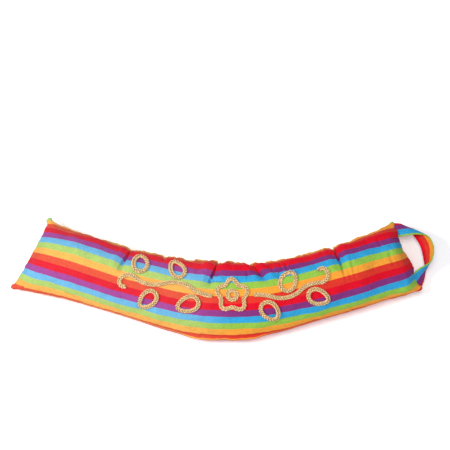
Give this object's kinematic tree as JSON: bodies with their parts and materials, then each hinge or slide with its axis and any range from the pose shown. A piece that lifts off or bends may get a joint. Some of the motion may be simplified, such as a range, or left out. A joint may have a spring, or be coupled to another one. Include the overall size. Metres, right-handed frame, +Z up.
{
  "type": "draught excluder",
  "caption": "Long filled fabric cushion for the foot of a door, bent in the middle, with a folded carry strap at one end and a rope-work vine sewn on its face.",
  "frame": {"origin": "middle of the part's box in plan, on the surface it rests on", "axes": "+X along the cushion towards the carry strap, +Y towards the inside of the bend, +Z up through the decorated face"},
  "size_m": [0.9062, 0.2634, 0.1178],
  "materials": {
    "striped_cotton": "matt woven cotton with lengthwise stripes in six colours",
    "strap_cotton": "the same striped cotton, folded and stitched into a band",
    "jute_rope": "dry plaited jute, fibres slightly raised"
  },
  "bodies": {
    "root": {"cover": "striped_cotton", "carry_strap": "strap_cotton", "rope_flower": "jute_rope", "rope_ring": "jute_rope", "rope_stem_left": "jute_rope", "rope_stem_right": "jute_rope", "rope_leaf_1": "jute_rope", "rope_leaf_2": "jute_rope", "rope_leaf_3": "jute_rope", "rope_leaf_4": "jute_rope", "rope_leaf_5": "jute_rope", "rope_leaf_6": "jute_rope", "rope_leaf_7": "jute_rope"}
  },
  "joints": []
}
